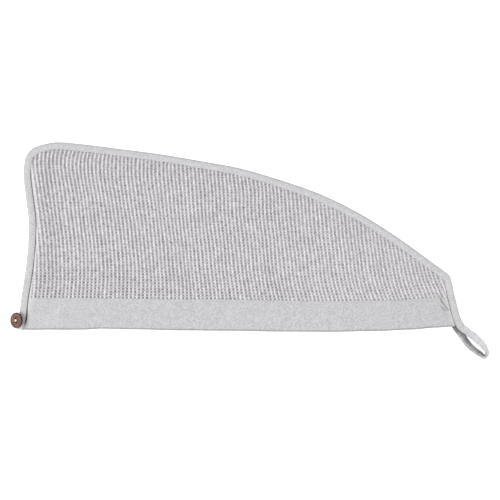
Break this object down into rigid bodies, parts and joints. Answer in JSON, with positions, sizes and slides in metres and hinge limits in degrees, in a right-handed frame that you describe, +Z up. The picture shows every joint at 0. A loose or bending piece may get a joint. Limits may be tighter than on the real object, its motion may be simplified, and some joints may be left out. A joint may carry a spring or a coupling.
{
  "type": "hair towel",
  "caption": "Flat-laid waffle-weave hair towel with a bound curved edge, open plain hem band, wooden corner button and tape closing loop.",
  "frame": {"origin": "under the middle of the whole footprint, on the surface that the towel lies on", "axes": "+X along the hem from the button corner to the loop corner, +Y from the open hem towards the long curved edge, +Z up from the surface"},
  "size_m": [0.6394, 0.2896, 0.0161],
  "materials": {
    "waffle_cloth": "light grey waffle weave cotton, matt",
    "band_cloth": "light grey plain weave with a fine fleck, matt",
    "binding_tape": "light grey folded cotton tape, matt",
    "button_wood": "brown wood, satin",
    "button_thread": "white sewing thread"
  },
  "bodies": {
    "root": {"front_panel_left": "waffle_cloth", "front_panel_middle": "waffle_cloth", "front_panel_crown": "waffle_cloth", "front_panel_tip": "waffle_cloth", "back_waffle_panel": "waffle_cloth", "front_band_left": "band_cloth", "front_band_middle": "band_cloth", "front_band_right": "band_cloth", "back_hem_band": "band_cloth", "edge_binding": "binding_tape", "closing_loop": "binding_tape", "button": "button_wood", "button_thread": "button_thread"}
  },
  "joints": []
}
